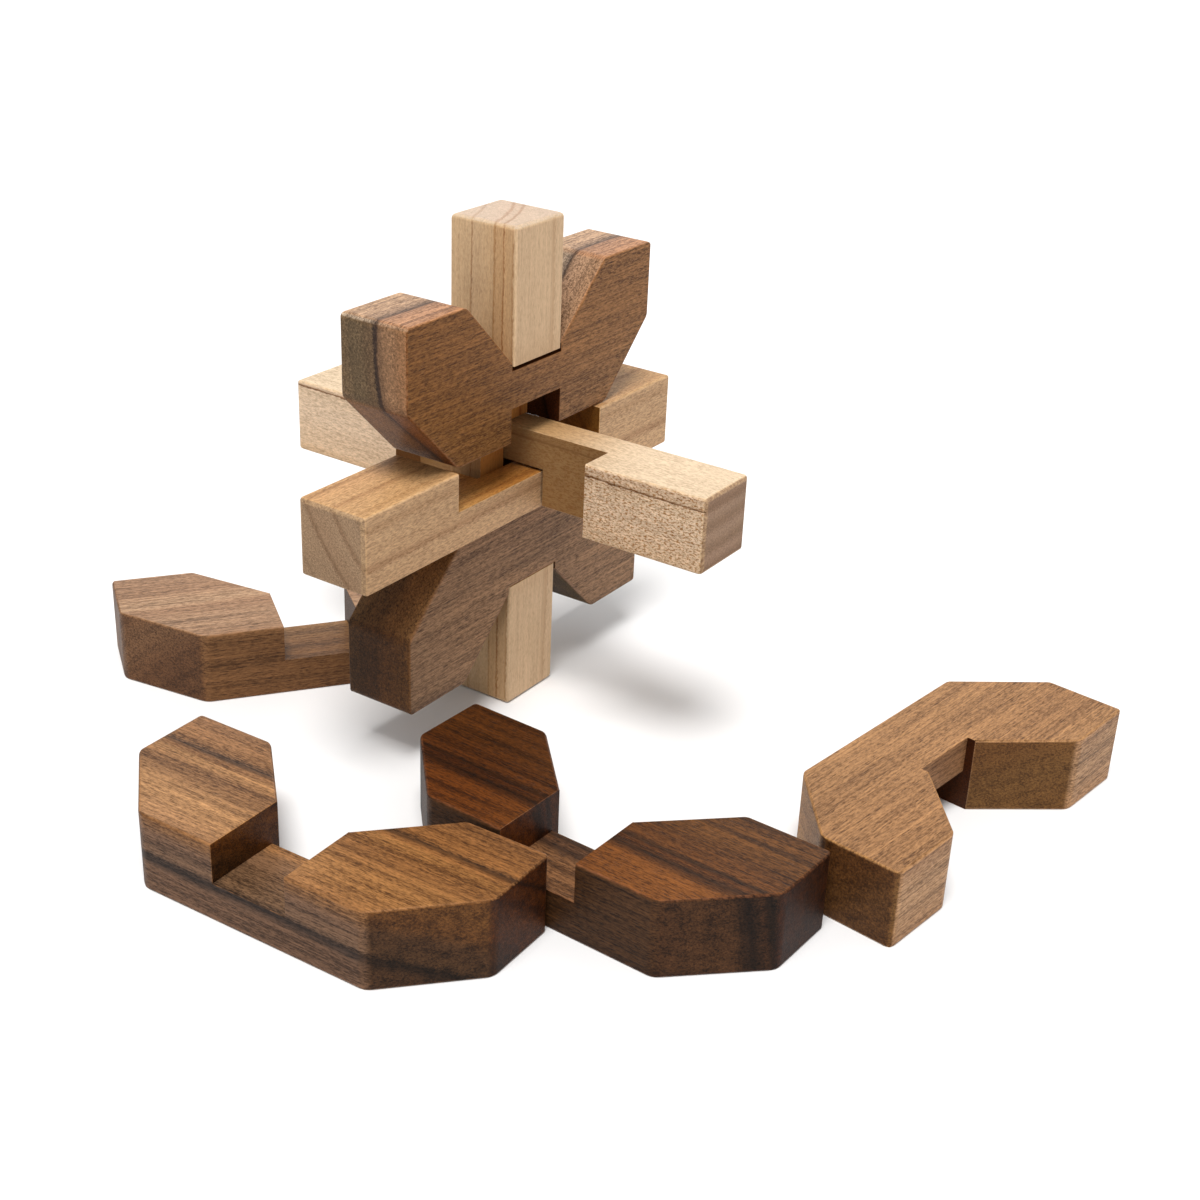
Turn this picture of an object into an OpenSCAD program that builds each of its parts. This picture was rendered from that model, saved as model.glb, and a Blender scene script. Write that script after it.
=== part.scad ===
// Wooden star puzzle, part taken apart: three maple sticks cross in the middle, two walnut
// plates are still on them, and four more walnut plates lie flat on the table around them.
// Millimetres, +Z up. The origin is on the table, in the middle of the upright stick's foot.
// +X runs along the crosswise stick and +Y along the lengthwise stick.

/* [Sticks] */
// Side of each square stick, and thickness of each plate
stick_w = 15; // [13:0.5:18]
// Length of each stick
stick_len = 98; // [92:1:120]

/* [Plates] */
// Width of the bar that joins a plate's two arms
bar_w = 14.5; // [12:0.1:17]
// Height of the small step where the bar's edge meets an arm
arm_step = 1.7; // [1:0.1:4]
// Width of an arm, measured square to its slant
arm_w = 22.8; // [19:0.1:26]
// How far an arm's tip stands out past the side of the slot
tip_out = 30.5; // [28:0.1:33]
// How far an arm's tip stands up past the bar
tip_up = 15.5; // [14:0.1:18]
// How deep the upper plate's second notch is cut into its back edge
key_depth = 7; // [4:0.1:9]

/* [Fits] */
// Air left on each face where two half-cut pieces meet
face_gap = 0.12; // [0.06:0.01:0.2]
// Air left on each side of a stick in another stick's notch
notch_gap = 0.25; // [0.25:0.05:0.5]
// Air left on each side of a stick in a plate's slot
slot_gap = 0.3; // [0.25:0.05:0.8]
// Air left beyond each bar at the ends of a stick's long recess
bar_play = 0.7; // [0.5:0.05:1.5]

/* [How far it is pulled apart] */
// How far both lying sticks are drawn out along +X
drawn_x = 1.4; // [0.2:0.1:5]
// How far the lengthwise stick is drawn out along -Y
drawn_y = 2.7; // [0:0.1:5]
// How far the crosswise stick has lifted off the floor of its notch
cross_lift = 0.3; // [0:0.05:0.3]
// How far the upper plate has moved over towards -Y in its slot
upper_aside = 0.15; // [0:0.05:0.15]
// Gap from the upright stick to the plate lying behind it
back_gap = 4.4; // [2:0.1:10]
// How far that plate's nearest corner lies towards -Y
back_y = 5.9; // [0:0.1:12]
// Gap from the lower plate's face to the tip of the plate lying in front of it
front_gap = 10.4; // [10.2:0.1:20]
// How far that tip lies towards -Y
front_y = 31.8; // [28:0.1:40]
// Gap where the left plate's tip nearly touches the front plate
left_gap = 0.4; // [0.3:0.1:5]
// How far along the front plate the left plate's tip lies, from its middle
left_along = 3.1; // [0:0.1:20]
// How far the right plate's tip lies beyond the front plate's tip
right_gap = 2.8; // [1:0.1:10]
// How far the right plate's tip lies back from the front plate's tip, towards -X
right_back = 3.7; // [0:0.1:6]
// Turn of the plate lying behind
back_turn = 53.6; // [50:0.1:58]
// Turn of the left plate
left_turn = 1.7; // [0:0.1:4]
// Turn of the front plate
front_turn = -2.2; // [-4:0.1:0]
// Turn of the right plate
right_turn = 82.5; // [79:0.1:85]

/* [Hidden] */

half = stick_w / 2;
notch_half = half + notch_gap;
slot_half = half + slot_gap;
recess_len = stick_w + 2 * (bar_w + bar_play);
over = 1; // how far a cutter stands out past what it cuts

// A plate's outline in its own plane: u runs along the bar and v away from the back edge.
// Both long edges of an arm slant at 45 degrees, so u - v is the same all along each.
inner_slant = slot_half - (bar_w + arm_step);
outer_slant = inner_slant + arm_w * sqrt(2);
tip_u = slot_half + tip_out;
tip_v = bar_w + tip_up;

// The lying sticks belong on the floor of the upright stick's notch. The upper plate rests on
// the lengthwise one, and the lower plate on the lower end of the upright stick's recess.
cross_z = stick_len / 2 - notch_gap + face_gap;
upper_back_z = cross_z + half + face_gap;
lower_back_z = stick_len / 2 - recess_len / 2 + face_gap + bar_w;

// The lengthwise stick sits against the -X wall of the crosswise stick's notch.
lengthwise_x = drawn_x - notch_gap + face_gap;

// Each loose plate is placed by one corner [u, v] that lies at a measured place on the table.
back_corner = [outer_slant, 0];
back_place = [-half - back_gap, -back_y];
front_corner = [-tip_u, tip_v];
front_place = [half + front_gap, -front_y];
left_corner = [tip_u, tip_v];
left_place = front_place + turned([left_along, 0] - front_corner, front_turn) - [0, left_gap];
right_corner = [-tip_u, tip_u - outer_slant];
right_place = front_place + turned([tip_u, tip_v] - front_corner, front_turn)
    + [-right_back, right_gap];

function turned(p, a) = [p.x * cos(a) - p.y * sin(a), p.x * sin(a) + p.y * cos(a)];

// One arm's corners, from the back edge out to the tip and in again to the step.
function arm() = [
    [outer_slant, 0],
    [tip_u, tip_u - outer_slant],
    [tip_u, tip_v],
    [tip_v + inner_slant, tip_v],
    [slot_half, slot_half - inner_slant],
    [slot_half, bar_w]
];

function outline() = concat(arm(), [for (i = [len(arm()) - 1 : -1 : 0]) [-arm()[i].x, arm()[i].y]]);

// A stick stands along Z. Its long recess opens to +X and its cross notch to +Y.
module stick() {
    difference() {
        translate([-half, -half, -stick_len / 2]) cube([stick_w, stick_w, stick_len]);
        translate([-face_gap, -half - over, -recess_len / 2])
            cube([half + face_gap + over, stick_w + 2 * over, recess_len]);
        translate([-half - over, -face_gap, -notch_half])
            cube([stick_w + 2 * over, half + face_gap + over, 2 * notch_half]);
    }
}

// A plate lies on Z = 0 with its back edge on Y = 0. The slot leaves the lower half of its bar.
module plate() {
    difference() {
        linear_extrude(stick_w) polygon(outline());
        translate([-slot_half, -over, half - face_gap])
            cube([2 * slot_half, bar_w + arm_step + over, half + face_gap + over]);
    }
}

// The upper plate is the key: a second notch takes away half of what the slot leaves.
module key_plate() {
    difference() {
        plate();
        translate([-slot_half, -over, -over])
            cube([2 * slot_half, key_depth + over, stick_w + 2 * over]);
    }
}

// Turns a plate lying slot up and brings its corner to a place on the table.
module lay(corner, place, turn) {
    translate([place.x, place.y, 0]) rotate(turn) translate([-corner.x, -corner.y, 0]) children();
}

module upright_stick() {
    color("#e2bf90") translate([0, 0, stick_len / 2]) stick();
}

module crosswise_stick() {
    color("#dcb584") translate([drawn_x, 0, cross_z + cross_lift])
        rotate([-90, 0, 0]) rotate([0, 90, 0]) stick();
}

module lengthwise_stick() {
    color("#d8ad76") translate([lengthwise_x, -drawn_y, cross_z])
        rotate([0, -90, 0]) rotate([90, 0, 0]) stick();
}

// The two mounted plates stand in the YZ plane, with what is left of their bars at +X.
module upper_plate() {
    color("#7a5238") translate([half, -upper_aside, upper_back_z])
        rotate([90, 0, -90]) key_plate();
}

module lower_plate() {
    color("#6d5344") translate([half, 0, lower_back_z]) rotate([-90, 0, 90]) plate();
}

module back_plate() {
    color("#8a6349") lay(back_corner, back_place, back_turn) plate();
}

module left_plate() {
    color("#94663f") lay(left_corner, left_place, left_turn) plate();
}

module front_plate() {
    color("#5d3826") lay(front_corner, front_place, front_turn) plate();
}

// The right plate lies slot down, so it is turned over along its bar first.
module right_plate() {
    color("#ab7a4d") translate([0, 0, stick_w])
        lay([right_corner.x, -right_corner.y], right_place, right_turn)
            rotate([180, 0, 0]) plate();
}

upright_stick();
crosswise_stick();
lengthwise_stick();
upper_plate();
lower_plate();
back_plate();
left_plate();
front_plate();
right_plate();
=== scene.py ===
import math

import bmesh
import bpy
import numpy as np
from mathutils import Matrix, Quaternion, Vector


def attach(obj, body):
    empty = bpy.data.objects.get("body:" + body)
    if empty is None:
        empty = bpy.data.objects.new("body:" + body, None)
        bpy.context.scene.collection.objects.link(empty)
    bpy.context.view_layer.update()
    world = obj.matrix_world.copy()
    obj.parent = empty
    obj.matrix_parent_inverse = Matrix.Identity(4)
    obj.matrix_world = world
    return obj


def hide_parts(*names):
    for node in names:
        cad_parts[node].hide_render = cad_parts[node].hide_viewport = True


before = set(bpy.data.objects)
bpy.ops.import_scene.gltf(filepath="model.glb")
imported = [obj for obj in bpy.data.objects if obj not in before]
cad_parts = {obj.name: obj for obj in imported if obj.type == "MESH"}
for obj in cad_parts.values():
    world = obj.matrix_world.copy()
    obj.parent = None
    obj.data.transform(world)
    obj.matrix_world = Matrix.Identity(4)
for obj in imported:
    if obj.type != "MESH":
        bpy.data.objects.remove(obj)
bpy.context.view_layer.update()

MM = 0.001

# The camera's place in metres, its angles round the star in degrees, its lens in mm
camera_place = Vector((0.197205, -0.265246, 0.181681))
camera_azimuth = 33.171
camera_elevation = 26.197
camera_roll = 2.508
camera_lens = 54.281
camera_sensor = 36.0

# How far each kind of edge is eased, across its round
plate_corner = 1.4 * MM
plate_rim = 0.5 * MM
stick_end = 0.9 * MM
stick_side = 0.55 * MM
stick_back = 0.2 * MM
sawn_edge = 0.12 * MM
steps_in_a_round = 5

# Points this near are one point, faces turned by fewer degrees are one face, directions whose
# cosine is larger are parallel, and a face wider than this is a flat and no part of a round
one_point = 0.002 * MM
one_face = 1
parallel = 0.99
flat_width = 3 * MM

# The table and the room: how many metres the table reaches, how white it is, how often its tooth
# repeats per mm, and how bright the room is on the wood and behind it
table_half = 12.0
table_white = (0.83, 0.83, 0.83)
table_tooth = 0.9
room_light = 0.46
room_seen = 1.2

# The lamps: strength, degrees of sky that each fills, the way it lies, and its tint
LAMPS = {
    "overhead": (3.05, 26, (0.13, -0.31, 1.0), (1.0, 0.985, 0.975)),
    "behind": (0.85, 60, (-0.52, 0.80, 0.50), (1.0, 1.0, 1.0)),
    "right": (0.2, 80, (1.0, -0.1, 0.6), (1.0, 1.0, 1.0)),
}

# The growth rings of both timbers: how many mm of wood a year is, between which shares of a year
# it darkens, which year a piece's middle is in, and by how many mm in all slow bends, ripples
# and speckle move the rings
year_width = 3.3
late_start = 0.45
late_end = 0.96
middle_year = 100.3
bend_size = 4.0
ripple_size = 0.7
speckle_size = 1.0

# Noise that both timbers have, in repeats per mm along the grain, out through the rings and
# along them
bend_scale = (0.014, 0.045, 0.045)
ripple_scale = (0.05, 0.7, 0.7)
speckle_scale = (0.9, 3.4, 3.4)
mottle_scale = (0.03, 0.16, 0.16)
streak_scale = (0.012, 0.5, 0.5)
tuft_scale = (0.8, 1.7, 1.7)
broken_scale = (0.9, 2.0, 2.0)

# What is each timber's own. Scales are as above. fibre, speckle, mottle and tufts are shares by
# which the tone swings up and down, season and pore_dark shares by which it falls. pore is how
# far a pore reaches in its cell, fleck_tone what flecks multiply the colour by, rough the
# roughness, and rubbed the most that its rounds are worn.
maple = {
    "fibre_scale": (0.06, 2.0, 2.0),
    "fibre": 0.06,
    "speckle": 0.10,
    "mottle": 0.05,
    "season": 0.0,
    "pore_scale": (0.45, 3.8, 3.8),
    "pore": 0.26,
    "pore_dark": 0.14,
    "fleck_scale": (1.6, 3.0, 4.0),
    "fleck_tone": (0.50, 0.32, 0.16),
    "tufts": 0.12,
    "rough": 0.52,
    "rubbed": 0.5,
}
walnut = {
    "fibre_scale": (0.05, 2.7, 2.7),
    "fibre": 0.24,
    "speckle": 0.26,
    "mottle": 0.10,
    "season": 0.12,
    "pore_scale": (0.28, 4.2, 4.2),
    "pore": 0.34,
    "pore_dark": 0.46,
    "fleck_scale": (1.2, 0.9, 5.0),
    "fleck_tone": (0.6, 0.5, 0.4),
    "tufts": 0.3,
    "rough": 0.50,
    "rubbed": 0.6,
}

# How squarely a face looks along a piece's axis, as a cosine, from where it starts to count as
# one of these to where it is one wholly
broad_look = (0.55, 0.85)
slant_look = (0.35, 0.65)
inner_look = (0.3, 0.6)
end_look = (0.75, 0.95)
wall_look = (0.5, 0.8)
fleck_look = (0.2, 0.95)
rim_look = (0.1, 0.5)

# Painted shade where the pieces meet over a stick's middle, darker and browner: how far up a face
# looks, as a cosine, from where it starts to show to where it shows most, between how many mm from
# a stick's middle it fades, and its tone
all_faces = (-3, -2)
upper_faces = (0.5, 0.9)
joint_shade_run = (5, 30)
joint_shade_tone = (0.66, 0.5, 0.32)

# From where to where a broad face goes over from its near tone to its far one, in mm
near_to_far = (-25, 25)

# From where in their noise the flecks, the pores and the worn fibres start to where they are whole
fleck_start = (0.47, 0.61)
pore_start = (0.15, 0.5)
worn_start = (0.4, 0.7)

# Shares: the least that a round is worn, how far a cut goes to its sawn tone, how much paler the
# colour is that deepens the darker wood, and how dark the wood is where that is complete
least_worn = 0.05
sawn_share = 0.65
paler = 0.35
darkest = 0.4

# The oiled surface: its shine, how far the speckle swings its roughness, how strong and how high
# its relief is, and what share of that height the speckle and the pores each have
shine = 0.13
rough_swing = 0.1
relief = 0.7
relief_height = 0.07 * MM
relief_share = 0.8

# How each piece was cut from its timber, how its faces took the oil, and how they are painted
# lighter or darker for light and shade. Lengths are in mm.
# opens: the way its cut opens. seed: which stretch of the noise it has.
# ring_turn and lean: how far the block is turned about the grain, and then in the plane of its
# rings' depth and grain, in degrees. heart: how far away the rings' middle lies. wander: how
# much the rings bend. reach: how far out the stops may lie.
# stops: seen colours at depths through the rings. end_stops: the same for the ends.
# fleck, grit, figure: how strong ray flecks, speckle and long streaks are. fleck_run: from where
# to where along the grain the flecks change, and from which share of their strength to which.
# The painted shade near the joint: on which faces shade is painted, darker and browner, where
# the pieces meet in a stick's middle.
# broad, far, edge, slant, inner, end, floor and wall tone: what the wood's colour is multiplied
# by on the broad faces and towards their far end, the narrow sides, the slanting sides outside
# and inside, the ends, and the floors and walls of the cuts. They hold the oil each face took and
# also painted light and shade: faces turned to the lamps or the sheen are painted lighter, faces
# turned away darker, and the cuts carry painted shade, the walls darkest.
# sawn_tone and worn_tone: seen colours that the cuts and the worn rounds go towards.
PIECES = {
    "upright_stick": {
        "opens": (0, 1, 0), "kind": maple, "seed": 1.7,
        "ring_turn": 67, "heart": 70, "wander": 0.3, "reach": 11,
        "stops": [
            (-11, (211, 182, 146)), (-5.5, (210, 181, 145)), (-5.2, (176, 140, 104)),
            (-4.9, (211, 182, 147)), (-0.5, (209, 178, 140)), (-0.1, (180, 140, 98)),
            (0.2, (206, 170, 128)), (1.6, (206, 170, 128)), (1.9, (166, 120, 80)),
            (2.2, (206, 170, 128)), (3.7, (206, 172, 132)), (4.0, (184, 146, 106)),
            (4.3, (210, 181, 146)), (8.3, (209, 180, 145)), (8.7, (196, 164, 128)),
            (9.1, (211, 182, 147))],
        "end_stops": [
            (-11, (206, 184, 160)), (-5.6, (206, 184, 160)), (-5.1, (190, 162, 136)),
            (-4.6, (206, 184, 160)), (-0.6, (205, 182, 158)), (0, (184, 152, 124)),
            (0.6, (203, 179, 154)), (1.4, (202, 178, 153)), (1.9, (178, 146, 118)),
            (2.4, (204, 181, 156)), (11, (206, 184, 160))],
        "fleck": 0.16, "grit": 0.8, "joint_shade": all_faces,
        "broad_tone": (0.91, 0.88, 0.86), "edge_tone": (0.85, 0.81, 0.76),
        "slant_tone": (0.9, 0.97, 1.12), "end_tone": (0.88, 0.85, 0.85),
        "floor_tone": (1.15, 0.88, 0.56), "wall_tone": (0.70, 0.47, 0.24),
        "worn_tone": (220, 190, 152),
    },
    "crosswise_stick": {
        "opens": (0, 0, -1), "kind": maple, "seed": 5.2,
        "ring_turn": 0, "lean": -1.0, "heart": 300, "wander": 0.3, "reach": 11,
        "stops": [
            (-8, (218, 190, 156)), (-6.2, (214, 187, 153)), (-5.8, (130, 92, 58)),
            (-5.4, (222, 196, 161)), (-1, (226, 200, 166)), (5.8, (222, 193, 156)),
            (7.4, (214, 182, 142))],
        "end_stops": [
            (-8, (224, 196, 164)), (-6.2, (204, 174, 140)), (-4.8, (236, 210, 178)),
            (-2.6, (212, 184, 150)), (-0.6, (238, 212, 180)), (1.8, (210, 182, 148)),
            (3.6, (236, 208, 176)), (5.6, (206, 176, 142)), (8, (228, 200, 168))],
        "fleck": 1.0, "fleck_run": (10, -18, 0.2, 1.0), "grit": 2.0, "figure": 0.05,
        "joint_shade": upper_faces,
        "broad_tone": (0.94, 0.94, 1.0), "edge_tone": (0.92, 0.96, 1.0),
        "slant_tone": (0.39, 0.32, 0.29), "end_tone": (0.39, 0.32, 0.29),
        "floor_tone": (0.51, 0.4, 0.26), "wall_tone": (0.4, 0.3, 0.2),
        "sawn_tone": (190, 158, 122), "worn_tone": (226, 192, 148),
    },
    "lengthwise_stick": {
        "opens": (-1, 0, 0), "kind": maple, "seed": 9.1,
        "ring_turn": -35, "heart": 60, "wander": 0.3, "reach": 11,
        "stops": [
            (-11, (196, 162, 124)), (-9.6, (200, 167, 130)), (-8.8, (189, 155, 118)),
            (-8.0, (200, 167, 130)), (-5.3, (201, 167, 129)), (-4.2, (180, 144, 108)),
            (-3.4, (202, 168, 130)), (0.4, (200, 164, 126)), (1.4, (177, 141, 105)),
            (2.2, (202, 168, 130)), (6.7, (200, 166, 128)), (7.5, (188, 154, 118)),
            (8.3, (202, 168, 130))],
        "fleck": 0.22, "grit": 2.2, "joint_shade": upper_faces,
        "broad_tone": (0.88, 0.77, 0.60), "edge_tone": (0.91, 0.865, 0.82),
        "slant_tone": (0.5, 0.49, 0.5), "end_tone": (0.51, 0.50, 0.51),
        "floor_tone": (0.96, 0.8, 0.48), "wall_tone": (0.27, 0.17, 0.05),
        "worn_tone": (216, 178, 132),
    },
    "upper_plate": {
        "opens": (0, 0, 1), "kind": walnut, "seed": 2.3,
        "ring_turn": 98, "heart": 90, "wander": 0.5, "reach": 20,
        "stops": [
            (-8, (148, 106, 74)), (-5, (150, 110, 80)), (-2.2, (146, 108, 80)),
            (-1.7, (96, 70, 52)), (-1.4, (58, 42, 34)), (-1.1, (112, 88, 70)),
            (0.6, (158, 128, 102)), (8, (164, 134, 106))],
        "end_stops": [
            (-8, (148, 106, 72)), (-4, (142, 107, 78)), (-2.1, (122, 92, 68)),
            (-1.7, (58, 42, 34)), (-1.2, (56, 42, 34)), (-0.7, (102, 80, 58)),
            (3, (100, 82, 60)), (8, (110, 88, 64))],
        "fleck": 0.05, "grit": 1.2, "figure": 0.08,
        "broad_tone": (0.78, 0.73, 0.53), "far_tone": (0.65, 0.555, 0.32),
        "edge_tone": (1.26, 1.23, 1.17), "slant_tone": (0.50, 0.335, 0.145),
        "inner_tone": (1.1, 1.3, 1.48), "end_tone": (0.91, 0.90, 0.87),
        "floor_tone": (0.25, 0.15, 0.07), "wall_tone": (0.16, 0.08, 0.03),
        "worn_tone": (158, 112, 76),
    },
    "lower_plate": {
        "opens": (0, 0, -1), "kind": walnut, "seed": 4.4,
        "ring_turn": 95, "heart": 90, "wander": 0.8, "reach": 20,
        "stops": [
            (-8, (132, 104, 82)), (-2, (128, 98, 76)), (1.5, (104, 80, 64)),
            (8, (104, 84, 68))],
        "fleck": 0.05, "grit": 1.2, "figure": 0.14,
        "broad_tone": (1.05, 0.96, 0.80), "edge_tone": (1, 1, 1),
        "slant_tone": (0.74, 0.59, 0.34), "inner_tone": (0.43, 0.42, 0.19),
        "end_tone": (0.44, 0.30, 0.13),
        "floor_tone": (0.6, 0.5, 0.4), "wall_tone": (0.3, 0.2, 0.12),
        "worn_tone": (140, 96, 66),
    },
    "back_plate": {
        "opens": (-0.805, 0.593, 0), "kind": walnut, "seed": 6.6,
        "ring_turn": 40, "heart": 90, "wander": 0.8, "reach": 24,
        "stops": [
            (-20, (130, 98, 74)), (-8, (136, 104, 80)), (0, (158, 128, 104)),
            (4, (150, 118, 94)), (6, (172, 142, 116)), (10, (152, 120, 96)),
            (18, (158, 126, 102))],
        "fleck": 0.05, "figure": 0.14,
        "broad_tone": (0.96, 0.91, 0.81), "edge_tone": (0.66, 0.54, 0.36),
        "slant_tone": (0.44, 0.34, 0.24), "end_tone": (0.4, 0.32, 0.24),
        "floor_tone": (0.63, 0.52, 0.33), "wall_tone": (0.3, 0.22, 0.14),
        "worn_tone": (164, 122, 88),
    },
    "left_plate": {
        "opens": (-0.03, 1, 0), "kind": walnut, "seed": 8.8,
        "ring_turn": 57, "heart": 80, "wander": 0.8, "reach": 24,
        "stops": [
            (-18, (118, 92, 76)), (-10, (112, 86, 70)), (-7.6, (66, 52, 46)),
            (-6, (112, 88, 72)), (-3, (116, 90, 74)), (0, (150, 110, 74)),
            (3, (164, 122, 80)), (6, (142, 102, 66)), (8, (158, 116, 74)),
            (8.6, (154, 110, 70)), (9.3, (92, 66, 46)), (10.2, (146, 104, 66)),
            (16, (136, 98, 66))],
        "fleck": 0.05, "grit": 1.2, "figure": 0.3,
        "broad_tone": (0.85, 0.84, 0.84), "far_tone": (0.74, 0.63, 0.46),
        "edge_tone": (0.8, 0.72, 0.6), "slant_tone": (0.33, 0.25, 0.15),
        "end_tone": (0.167, 0.085, 0.026),
        "floor_tone": (0.93, 0.82, 0.6), "wall_tone": (0.31, 0.19, 0.07),
        "worn_tone": (160, 110, 66),
    },
    "front_plate": {
        "opens": (0.04, 1, 0), "kind": walnut, "seed": 3.1,
        "ring_turn": 7.6, "heart": 120, "wander": 0.5, "reach": 20,
        "stops": [
            (-18, (100, 68, 48)), (-8, (108, 75, 53)), (-5.6, (101, 70, 50)),
            (-4.3, (66, 45, 34)), (-3.6, (50, 34, 27)), (-2.8, (72, 49, 37)),
            (-2.1, (90, 61, 45)), (-1.3, (55, 38, 30)), (-0.9, (53, 37, 30)),
            (0.1, (94, 66, 50)), (2, (88, 62, 47)), (8, (90, 66, 51)),
            (18, (86, 62, 48))],
        "fleck": 0.05, "grit": 1.2, "figure": 0.3,
        "broad_tone": (0.65, 0.37, 0.1), "far_tone": (1.08, 0.75, 0.25),
        "edge_tone": (0.43, 0.39, 0.26), "slant_tone": (0.38, 0.325, 0.22),
        "end_tone": (0.3, 0.146, 0.04),
        "floor_tone": (1.2, 1.15, 0.9), "wall_tone": (0.66, 0.36, 0.1),
        "worn_tone": (128, 78, 48),
    },
    "right_plate": {
        "opens": (0.991, -0.13, 0), "kind": walnut, "seed": 7.4,
        "ring_turn": 70, "heart": 140, "wander": 0.8, "reach": 24,
        "stops": [
            (-18, (168, 128, 92)), (-4, (164, 122, 86)), (4, (170, 132, 96)),
            (18, (162, 120, 82))],
        "fleck": 0.05, "figure": 0.12,
        "broad_tone": (0.81, 0.77, 0.64), "edge_tone": (0.95, 0.94, 0.92),
        "slant_tone": (0.95, 0.87, 0.55), "inner_tone": (0.36, 0.29, 0.165),
        "end_tone": (0.25, 0.18, 0.1),
        "floor_tone": (0.59, 0.54, 0.49), "wall_tone": (0.12, 0.055, 0.02),
        "worn_tone": (190, 142, 94),
    },
}

# What holds for a piece that doesn't say otherwise: a straight block, flecks all along, no long
# streaks, no painted shade where the pieces meet, and ends, far ends, inner slants and cuts like
# the rest of the piece
usual_plan = {
    "lean": 0.0,
    "end_stops": None,
    "fleck_run": (0, 1, 1, 1),
    "grit": 1.0,
    "figure": 0.0,
    "joint_shade": None,
    "far_tone": None,
    "inner_tone": None,
    "sawn_tone": None,
}


def place_camera():
    """A photographer's camera. It looks against back, the unit vector that points from the star
    to it: (sin azimuth cos elevation, -cos azimuth cos elevation, sin elevation). It is rolled a
    little about that line."""
    azimuth = math.radians(camera_azimuth)
    elevation = math.radians(camera_elevation)
    back = Vector((math.sin(azimuth) * math.cos(elevation),
                   -math.cos(azimuth) * math.cos(elevation),
                   math.sin(elevation)))
    lens = bpy.data.cameras.new("camera")
    lens.lens = camera_lens
    lens.sensor_width = camera_sensor
    lens.sensor_height = camera_sensor
    lens.sensor_fit = "HORIZONTAL"
    lens.clip_start = 0.01
    lens.clip_end = 50
    camera = bpy.data.objects.new("camera", lens)
    bpy.context.scene.collection.objects.link(camera)
    turn = (-back).to_track_quat("-Z", "Y") @ Quaternion((0, 0, 1), math.radians(camera_roll))
    camera.rotation_mode = "QUATERNION"
    camera.rotation_quaternion = turn
    camera.location = camera_place
    bpy.context.scene.camera = camera


def whole_faces(mesh):
    """The loose triangles of a CAD solid, joined into its whole flat faces."""
    work = bmesh.new()
    work.from_mesh(mesh)
    bmesh.ops.remove_doubles(work, verts=work.verts, dist=one_point)
    bmesh.ops.dissolve_limit(work, angle_limit=math.radians(one_face),
                             verts=work.verts, edges=work.edges)
    bmesh.ops.recalc_face_normals(work, faces=work.faces)
    return work


def bench_axes(work, opens):
    """A piece's own axes: through its largest face, across it the way its cut opens, and the
    grain at right angles to both. Gives the piece's middle, a matrix whose columns are grain,
    across and through, and half the length along the grain."""
    largest = max(work.faces, key=lambda face: face.calc_area())
    through = -largest.normal.normalized()
    across = Vector(opens)
    across = (across - through * across.dot(through)).normalized()
    grain = across.cross(through).normalized()
    axes = Matrix((grain, across, through)).transposed()
    points = np.array([vert.co for vert in work.verts]) @ np.array(axes)
    middle = axes @ Vector((points.min(0) + points.max(0)) / 2)
    half_length = float(points[:, 0].max() - points[:, 0].min()) / 2
    return middle, axes, half_length


def sawn_faces(work, middle, axes, half_length):
    """The faces of a piece's cuts: those that lie wholly in the middle half of its length."""
    grain = axes.col[0]
    return {face for face in work.faces
            if max(abs((vert.co - middle).dot(grain)) for vert in face.verts) < half_length / 2}


def edge_round(edge, cut, axes, is_plate):
    """How far an edge is eased: hardly at all along a sawn cut, a little along a plate's rim or
    a stick's side, least of all there on the one long edge of a stick that no cut reaches, and
    more at a plate's upright corners and round a stick's ends."""
    if not edge.is_convex:
        return 0.0
    if cut.intersection(edge.link_faces):
        return sawn_edge
    way = (edge.verts[1].co - edge.verts[0].co).normalized()
    if is_plate:
        return plate_corner if abs(way.dot(axes.col[2])) > parallel else plate_rim
    if abs(way.dot(axes.col[0])) < parallel:
        return stick_end
    out = edge.link_faces[0].normal + edge.link_faces[1].normal
    back = out.dot(axes.col[1]) < -0.5 and out.dot(axes.col[2]) < -0.5
    return stick_back if back else stick_side


def eased(work, name):
    """A mesh in which each edge has become a round. Its width is the edge's weight times the
    width of a plate's corners."""
    rough = bpy.data.meshes.new(name + "_rough")
    work.to_mesh(rough)
    work.free()
    holder = bpy.data.objects.new(name + "_rough", rough)
    bpy.context.scene.collection.objects.link(holder)
    ease = holder.modifiers.new("ease", "BEVEL")
    ease.limit_method = "WEIGHT"
    ease.width = plate_corner
    ease.segments = steps_in_a_round
    ease.use_clamp_overlap = False
    bpy.context.view_layer.update()
    evaluated = holder.evaluated_get(bpy.context.evaluated_depsgraph_get())
    finished = bpy.data.meshes.new_from_object(evaluated)
    bpy.data.objects.remove(holder)
    return finished


def read_array(items, key, parts=1, kind=np.float32):
    """One value of each item of a mesh, as an array with a row per item."""
    values = np.empty(len(items) * parts, kind)
    items.foreach_get(key, values)
    return values.reshape(-1, parts) if parts > 1 else values


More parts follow.
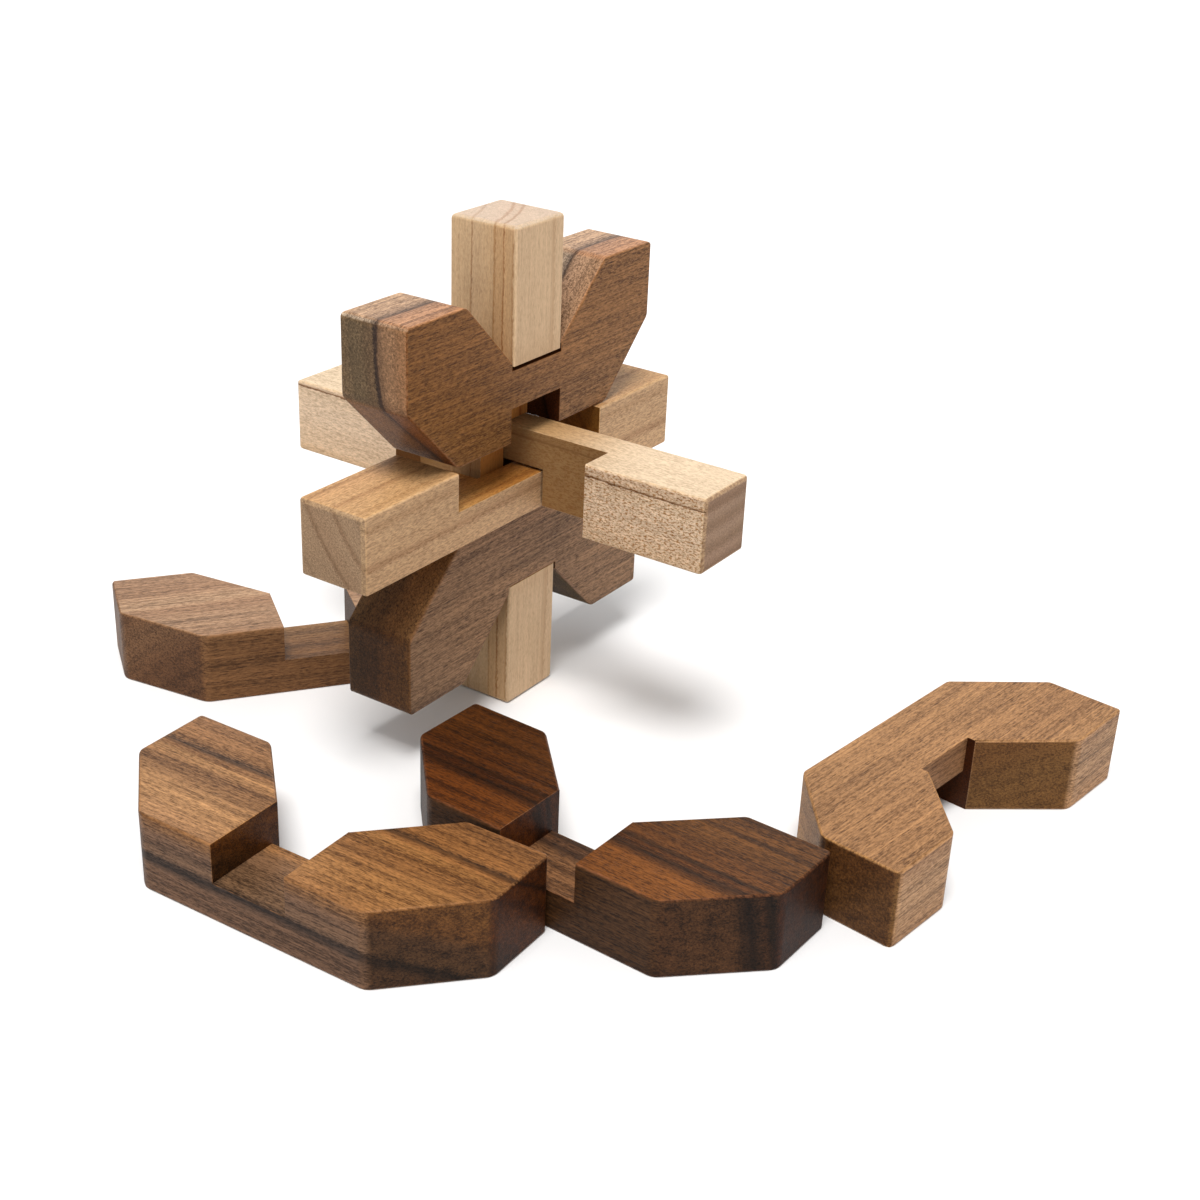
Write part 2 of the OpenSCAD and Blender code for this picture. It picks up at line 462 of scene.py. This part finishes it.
def shade_rounds(mesh):
    """Shades the flats flat and lets the rounds turn smoothly from one flat to the next. Each
    face's corner takes the normal of a flat that meets its point: the flat whose normal has the
    largest dot product with the face's own, which on a flat is its own. Where no flat meets the
    point, it takes the point's normal. The point attribute worn is 1 there and 0 elsewhere."""
    mesh.shade_smooth()
    normals = read_array(mesh.polygons, "normal", 3)
    areas = read_array(mesh.polygons, "area")
    sides = read_array(mesh.polygons, "loop_total", kind=np.int32)
    points = read_array(mesh.loops, "vertex_index", kind=np.int32)
    own = np.repeat(normals, sides, axis=0)
    on_flat = np.repeat(areas > flat_width ** 2, sides)
    meets = points[:, None] == points[on_flat]
    likeness = np.where(meets, own @ own[on_flat].T, -2)
    nearest = own[on_flat][likeness.argmax(axis=1)]
    smooth = read_array(mesh.vertices, "normal", 3)[points]
    chosen = np.where(meets.any(axis=1)[:, None], nearest, smooth)
    mesh.normals_split_custom_set(chosen.tolist())
    worn = np.ones(len(mesh.vertices), np.float32)
    worn[points[on_flat]] = 0
    mesh.attributes.new("worn", "FLOAT", "POINT").data.foreach_set("value", worn)


def worked_piece(node, opens):
    """The CAD solid of one piece with its edges eased and its inner corners crisp. The face
    attribute sawn is 1 inside the cuts. Gives the piece, its middle and its axes."""
    work = whole_faces(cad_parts[node].data)
    weight = work.edges.layers.float.new("bevel_weight_edge")
    sawn = work.faces.layers.float.new("sawn")
    middle, axes, half_length = bench_axes(work, opens)
    cut = sawn_faces(work, middle, axes, half_length)
    for edge in work.edges:
        edge[weight] = edge_round(edge, cut, axes, node.endswith("plate")) / plate_corner
        edge.smooth = edge.is_convex
    for face in cut:
        face[sawn] = 1
    finished = eased(work, node)
    shade_rounds(finished)
    finished.name = node + "_wood"
    piece = bpy.data.objects.new(node + "_wood", finished)
    bpy.context.scene.collection.objects.link(piece)
    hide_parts(node)
    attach(piece, node)
    return piece, middle, axes


def paint(shade):
    """A colour given as seen on a screen, 0 to 255, made linear."""
    levels = np.array(shade) / 255
    linear = np.where(levels <= 0.04045, levels / 12.92, ((levels + 0.055) / 1.055) ** 2.4)
    return (*[float(level) for level in linear], 1.0)


class Finish:
    """A material's nodes, laid down one step at a time. Most steps give the node's output."""

    def __init__(self, name):
        self.material = bpy.data.materials.new(name)
        self.material.use_nodes = True
        self.tree = self.material.node_tree
        self.tree.nodes.clear()

    def feed(self, socket, value):
        """Links an output to a socket, or sets the socket's own value. A tone has no alpha of its
        own, so it gets 1."""
        if isinstance(value, bpy.types.NodeSocket):
            self.tree.links.new(value, socket)
        elif socket.type == "RGBA" and len(value) == 3:
            socket.default_value = (*value, 1.0)
        else:
            socket.default_value = value

    def node(self, kind, sockets=None, **settings):
        """A node with its settings, fed by name or by number."""
        made = self.tree.nodes.new(kind)
        for key, value in settings.items():
            setattr(made, key, value)
        for key, value in (sockets or {}).items():
            self.feed(made.inputs[key], value)
        return made

    def math(self, operation, *values):
        """A sum, product or the like of numbers."""
        return self.node("ShaderNodeMath", dict(enumerate(values)), operation=operation).outputs[0]

    def vector(self, operation, a, b=(0, 0, 0)):
        """A sum or product of two vectors, or the number that a dot product or a length is."""
        made = self.node("ShaderNodeVectorMath", {0: a, 1: b}, operation=operation)
        return made.outputs["Value" if operation in ("DOT_PRODUCT", "LENGTH") else "Vector"]

    def stretch(self, vector, scale, shift=(0, 0, 0)):
        """A place multiplied by scale, then moved by shift."""
        return self.node("ShaderNodeMapping", {
            "Vector": vector, "Scale": scale, "Location": shift}).outputs[0]

    def noise(self, vector, detail=2.0, roughness=0.5):
        """Soft noise about 0.5 that repeats once in each unit of a place."""
        return self.node("ShaderNodeTexNoise", {
            "Vector": vector, "Scale": 1.0, "Detail": detail, "Roughness": roughness})

    def between(self, value, low, high, start=0.0, end=1.0, smooth=True):
        """Goes from start to end as value goes from low to high, eased at both or straight."""
        made = self.node("ShaderNodeMapRange", {
            "Value": value, "From Min": low, "From Max": high, "To Min": start, "To Max": end})
        made.interpolation_type = "SMOOTHSTEP" if smooth else "LINEAR"
        return made.outputs[0]

    def blend(self, factor, a, b, kind="MIX"):
        """Goes from a to b as factor goes from 0 to 1, or from a to what kind makes of both."""
        made = self.node("ShaderNodeMix", data_type="RGBA", blend_type=kind)
        for key, value in ((0, factor), (6, a), (7, b)):
            self.feed(made.inputs[key], value)
        return made.outputs[2]

    def times(self, colour, tone):
        """A colour multiplied by a tone."""
        return self.blend(1.0, colour, tone, "MULTIPLY")

    def grey(self, level):
        """A tone with the same level in all its parts."""
        return self.node("ShaderNodeCombineColor", {0: level, 1: level, 2: level}).outputs[0]

    def swing(self, shade, noise, strength, reach):
        """Multiplies a shade by 1 - strength to 1 + strength as a noise goes from reach below its
        middle to reach above it."""
        share = self.between(noise, 0.5 - reach, 0.5 + reach, 1 - strength, 1 + strength, False)
        return self.math("MULTIPLY", shade, share)

    def darken(self, shade, mask, strength):
        """Multiplies a shade by 1 - strength where the mask is 1."""
        return self.math("MULTIPLY", shade, self.math("MULTIPLY_ADD", mask, -strength, 1.0))

    def tones(self, value, stops, reach):
        """A colour for each depth through the rings: stops are (mm, colour), from -reach to reach."""
        ramp = self.node("ShaderNodeValToRGB", {0: self.between(value, -reach, reach, smooth=False)})
        wheel = ramp.color_ramp
        wheel.interpolation = "EASE"
        wheel.elements.remove(wheel.elements[-1])
        for count, (depth, shade) in enumerate(sorted(stops)):
            at = min(1, max(0, (depth + reach) / (2 * reach)))
            if count == 0:
                wheel.elements[0].position = at
            else:
                wheel.elements.new(at)
            wheel.elements[count].color = paint(shade)
        return ramp.outputs[0]

    def attribute(self, name):
        """A number that the mesh carries."""
        return self.node("ShaderNodeAttribute", attribute_name=name).outputs["Fac"]

    def bump(self, height, strength, depth):
        """A relief as deep as height times depth."""
        return self.node("ShaderNodeBump", {
            "Height": height, "Strength": strength, "Distance": depth}).outputs[0]

    def finish(self, **sockets):
        """The material itself, with its nodes led into the shader's sockets."""
        shader = self.node("ShaderNodeBsdfPrincipled",
                           {key.replace("_", " "): value for key, value in sockets.items()})
        out = self.node("ShaderNodeOutputMaterial")
        self.tree.links.new(shader.outputs[0], out.inputs[0])
        return self.material


class Timber(Finish):
    """The solid wood of one piece. All patterns are worked out in its own block of timber, in mm:
    along the grain, out through the growth rings, and along the rings. Fibres, flecks and pores
    are noise and cells drawn out along the grain or along the rays, so that each face shows them
    as its own cut through the wood does."""

    def __init__(self, name, middle, axes, plan):
        super().__init__(name)
        self.plan = {**usual_plan, **plan}
        self.kind = self.plan["kind"]
        self.seed = self.plan["seed"]
        self.axes = axes
        self.turned = (axes @ Matrix.Rotation(math.radians(self.plan["ring_turn"]), 3, "X")
                       @ Matrix.Rotation(math.radians(self.plan["lean"]), 3, "Z"))
        place = self.node("ShaderNodeTexCoord")
        self.normal = place.outputs["Normal"]
        self.block = self.node("ShaderNodeMapping", {
            "Vector": place.outputs["Object"], "Location": middle,
            "Rotation": self.turned.to_euler("XYZ"), "Scale": (MM, MM, MM)},
            vector_type="TEXTURE").outputs[0]
        self.along = self.node("ShaderNodeSeparateXYZ", {0: self.block}).outputs[0]
        self.speckle = self.noise(
            self.stretch(self.block, speckle_scale, (0, self.seed, 5)), 3.0, 0.7).outputs[0]
        self.depth = self.ring_depth()
        self.pore = self.pores()
        self.shade = self.all_shades()
        self.looks = [self.facing(way) for way in axes.col]

    def toward(self, way):
        """How squarely a face looks along a direction of the piece: their dot product."""
        return self.vector("DOT_PRODUCT", self.normal, way)

    def facing(self, way):
        """The same whichever way along it the face looks, from 0 to 1."""
        return self.math("ABSOLUTE", self.toward(way))

    def pattern(self, scale, row, detail, roughness=0.5):
        """Noise in the block. The piece's seed and the pattern's own row say which stretch of it
        is taken, so that no two pieces and no two patterns are alike."""
        place = self.stretch(self.block, scale, (self.seed, *row))
        return self.noise(place, detail, roughness).outputs[0]

    def off_middle(self, noise, size):
        """A noise made a length, from -size / 2 to size / 2."""
        return self.math("MULTIPLY_ADD", noise, size, -size / 2)

    def ring_depth(self):
        """How deep in the rings a point lies: its distance from a heart line that runs along the
        grain heart mm away, less heart, so that it is 0 in the piece's middle. Slow bends move
        the point first, and ripples and speckle change the depth."""
        place = self.stretch(self.block, bend_scale, (self.seed, 0, 0))
        drift = self.vector("SUBTRACT", self.noise(place, 1.0).outputs["Color"], (0.5, 0.5, 0.5))
        push = bend_size * self.plan["wander"]
        bent = self.vector("ADD", self.block, self.vector("MULTIPLY", drift, (0, push, push)))
        heart = self.plan["heart"]
        from_heart = self.vector("LENGTH", self.stretch(bent, (0, 1, 1), (0, heart, 0)))
        depth = self.math("SUBTRACT", from_heart, heart)
        ripple = self.pattern(ripple_scale, (7, 0), 2.0)
        depth = self.math("ADD", depth, self.off_middle(ripple, ripple_size))
        return self.math("ADD", depth, self.off_middle(self.speckle, speckle_size))

    def late_wood(self):
        """The year's growth: a slow darkening that ends in a line."""
        years = self.math("MULTIPLY_ADD", self.depth, 1 / year_width, middle_year + self.seed)
        year = self.math("FRACT", years)
        return self.math("MULTIPLY", self.between(year, late_start, late_end),
                         self.between(year, late_end, 1.0, 1.0, 0.0))

    def pores(self):
        """A spot in the middle of each drawn-out cell, faint or none in cells whose lot is low."""
        width = self.kind["pore"]
        cells = self.node("ShaderNodeTexVoronoi", {
            "Vector": self.stretch(self.block, self.kind["pore_scale"], (self.seed, 0, 0)),
            "Scale": 1.0})
        lot = self.node("ShaderNodeSeparateColor", {0: cells.outputs["Color"]}).outputs[0]
        spot = self.between(cells.outputs["Distance"], width * 0.5, width, 1.0, 0.0)
        return self.math("MULTIPLY", spot, self.between(lot, *pore_start))

    def flecks(self):
        """Ray flecks: noise drawn out along the rays. They show on the faces that look along the
        rings, and are stronger at one end of the piece where its fleck_run says so."""
        rays = self.pattern(self.kind["fleck_scale"], (1, 2), 3.0, 0.65)
        flecks = self.math("MULTIPLY", self.between(rays, *fleck_start, 0.0, self.plan["fleck"]),
                           self.between(self.facing(self.turned.col[2]), *fleck_look))
        return self.math("MULTIPLY", flecks, self.between(self.along, *self.plan["fleck_run"]))

    def all_shades(self):
        """How light the wood is, about 1: the product of the shares of its late wood, fibres,
        speckle, mottling, streaks and pores."""
        kind = self.kind
        fibre = self.pattern(kind["fibre_scale"], (3, 1), 4.0, 0.6)
        mottle = self.pattern(mottle_scale, (0, 9), 2.0)
        streaks = self.pattern(streak_scale, (4, 4), 3.0, 0.6)
        shade = self.darken(1.0, self.late_wood(), kind["season"])
        shade = self.swing(shade, fibre, kind["fibre"], reach=0.16)
        shade = self.swing(shade, self.speckle, kind["speckle"] * self.plan["grit"], reach=0.14)
        shade = self.swing(shade, mottle, kind["mottle"], reach=0.25)
        shade = self.swing(shade, streaks, self.plan["figure"], reach=0.2)
        return self.darken(shade, self.pore, kind["pore_dark"])

    def deepened(self, colour):
        """Darker wood is also redder: as the shade falls, the colour is multiplied by a paler
        one of its own kind, and then by the shade."""
        deeper = self.times(colour, self.blend(paler, colour, (1, 1, 1)))
        depth = self.between(self.shade, 1.0, darkest, smooth=False)
        colour = self.blend(depth, colour, deeper)
        return self.times(colour, self.grey(self.shade))

    def joint_shade(self, colour):
        """Painted shade in the middle of a stick, where the other pieces meet over it: there the
        colour is painted darker and browner on the faces its plan names, fading out along the grain.
        """
        if self.plan["joint_shade"] is None:
            return colour
        middling = self.between(self.math("ABSOLUTE", self.along), *joint_shade_run, 1.0, 0.0)
        upward = self.between(self.toward((0, 0, 1)), *self.plan["joint_shade"])
        shaded_colour = self.times(colour, joint_shade_tone)
        return self.blend(self.math("MULTIPLY", middling, upward), colour, shaded_colour)

    def broad_and_edge(self, colour):
        """The wood on the broad faces, near end to far end, and on the narrow sides. Their tones also
        carry painted light and shade: a face is painted lighter, with a painted sheen, or darker as
        it turns to or from the lamps.
        """
        near = self.plan["broad_tone"]
        far = self.plan["far_tone"] or near
        broad = self.blend(self.between(self.along, *near_to_far), near, far)
        look = self.between(self.looks[2], *broad_look)
        return self.times(colour, self.blend(look, self.plan["edge_tone"], broad))

    def slants(self, colour):
        """The wood on the slanting sides, outside and inside the arms. Their tones are painted light
        and shade: a slant that turns to the lamps or mirrors the white table is painted lighter and
        greyer, one turned away darker.
        """
        outer = self.plan["slant_tone"]
        inner = self.plan["inner_tone"] or outer
        look = self.between(self.toward(self.axes.col[1]), *inner_look)
        return self.times(colour, self.blend(look, outer, inner))

    def ends(self, colour):
        """The wood on the ends, which drink most oil and stay rough with torn tufts. Their tone is
        also painted light and shade: an end is painted darker where it lies in another piece's
        shadow, lighter where it turns to the lamps.
        """
        if self.plan["end_stops"]:
            rings = self.tones(self.depth, self.plan["end_stops"], self.plan["reach"])
            colour = self.times(rings, self.grey(self.shade))
        tufts = self.pattern(tuft_scale, (6, 3), 5.0, 0.8)
        tufts = self.swing(1.0, tufts, self.kind["tufts"], reach=0.12)
        return self.times(self.times(colour, self.plan["end_tone"]), self.grey(tufts))

    def cuts(self, colour):
        """The wood in the cuts: their floors, and the walls that look along the grain. Both carry
        painted shade for the hollow that a cut is, the walls darkest; a lit floor may be painted
        lighter.
        """
        if self.plan["sawn_tone"]:
            colour = self.blend(sawn_share, colour, paint(self.plan["sawn_tone"]))
        look = self.between(self.looks[0], *wall_look)
        return self.times(colour, self.blend(look, self.plan["floor_tone"], self.plan["wall_tone"]))

    def rubbed(self, colour):
        """Worn rounds show lighter, broken fibres. On walnut, the upright corners hardly do."""
        broken = self.pattern(broken_scale, (2, 2), 3.0, 0.6)
        worn = self.math("MULTIPLY", self.attribute("worn"),
                         self.between(broken, *worn_start, least_worn, self.kind["rubbed"]))
        if self.kind is walnut:
            look = self.between(self.looks[2], *rim_look, 0.1, 1.0)
            worn = self.math("MULTIPLY", worn, look)
        return self.blend(worn, colour, paint(self.plan["worn_tone"]))

    def colour(self):
        """The colour of the wood in the block, then a tone for each way a face looks: partly the oil
        it took, partly painted light and shade for how the face turns to the lamps, and painted shade
        in the cuts and where the pieces meet.
        """
        wood = self.deepened(self.tones(self.depth, self.plan["stops"], self.plan["reach"]))
        wood = self.blend(self.flecks(), wood, self.times(wood, self.kind["fleck_tone"]))
        # Painted shade, darker and browner, where the pieces meet over a stick's middle
        wood = self.joint_shade(wood)
        # Tones for each way a face looks: the oil it took, and painted light and shade
        sides = self.broad_and_edge(wood)
        sides = self.blend(self.between(self.looks[0], *slant_look), sides, self.slants(wood))
        sides = self.blend(self.between(self.looks[0], *end_look), sides, self.ends(wood))
        return self.rubbed(self.blend(self.attribute("sawn"), sides, self.cuts(wood)))

    def oiled(self):
        """The finished material: a dull oil, with the pores sunk and the speckle raised."""
        rough = self.kind["rough"]
        gloss = self.between(self.speckle, 0.2, 0.8, rough + rough_swing, rough - rough_swing, False)
        height = self.math("MULTIPLY_ADD", self.pore, -relief_share,
                           self.math("MULTIPLY", self.speckle, relief_share))
        return self.finish(Base_Color=self.colour(), Roughness=gloss, Specular_IOR_Level=shine,
                           Normal=self.bump(height, relief, relief_height))


def build_pieces():
    """Each piece of the puzzle, eased and given its own timber."""
    for node, plan in PIECES.items():
        piece, middle, axes = worked_piece(node, plan["opens"])
        piece.data.materials.clear()
        piece.data.materials.append(Timber(node + "_timber", middle, axes, plan).oiled())


def lay_floor():
    """A white sweep of table, far wider than the view."""
    half = table_half
    corners = [(-half, -half, 0), (half, -half, 0), (half, half, 0), (-half, half, 0)]
    mesh = bpy.data.meshes.new("table")
    mesh.from_pydata(corners, [], [(0, 1, 2, 3)])
    table = bpy.data.objects.new("table", mesh)
    bpy.context.scene.collection.objects.link(table)
    white = Finish("table_white")
    place = white.node("ShaderNodeTexCoord")
    fine = white.stretch(place.outputs["Object"], (table_tooth / MM,) * 3)
    tooth = white.bump(white.noise(fine).outputs[0], 0.1, 0.05 * MM)
    mesh.materials.append(white.finish(Base_Color=table_white, Roughness=0.9,
                                       Specular_IOR_Level=0.1, Normal=tooth))


def soft_lamp(name, energy, spread, toward, tint):
    """A far, broad lamp: a patch of even light in the sky, spread degrees across."""
    lamp = bpy.data.lights.new(name, "SUN")
    lamp.energy = energy
    lamp.angle = math.radians(spread)
    lamp.color = tint
    holder = bpy.data.objects.new(name, lamp)
    bpy.context.scene.collection.objects.link(holder)
    holder.rotation_mode = "QUATERNION"
    holder.rotation_quaternion = Vector(toward).normalized().to_track_quat("Z", "Y")


def light_room():
    """A white room, which is brighter where the camera sees it than it is on the wood."""
    world = bpy.data.worlds.new("room")
    bpy.context.scene.world = world
    world.use_nodes = True
    tree = world.node_tree
    tree.nodes.clear()
    seen = tree.nodes.new("ShaderNodeLightPath")
    strength = tree.nodes.new("ShaderNodeMapRange")
    strength.inputs["To Min"].default_value = room_light
    strength.inputs["To Max"].default_value = room_seen
    tree.links.new(seen.outputs["Is Camera Ray"], strength.inputs["Value"])
    glow = tree.nodes.new("ShaderNodeBackground")
    glow.inputs[0].default_value = (1, 1, 1, 1)
    tree.links.new(strength.outputs[0], glow.inputs[1])
    out = tree.nodes.new("ShaderNodeOutputWorld")
    tree.links.new(glow.outputs[0], out.inputs[0])


def light_studio():
    """A broad soft light nearly overhead, a lower one behind the star that lays a sheen on the
    tops, a weak one from the right, and a faint white room."""
    for name, lamp in LAMPS.items():
        soft_lamp(name, *lamp)
    light_room()
    bpy.context.scene.view_settings.view_transform = "Standard"


place_camera()
build_pieces()
lay_floor()
light_studio()

bpy.context.view_layer.update()
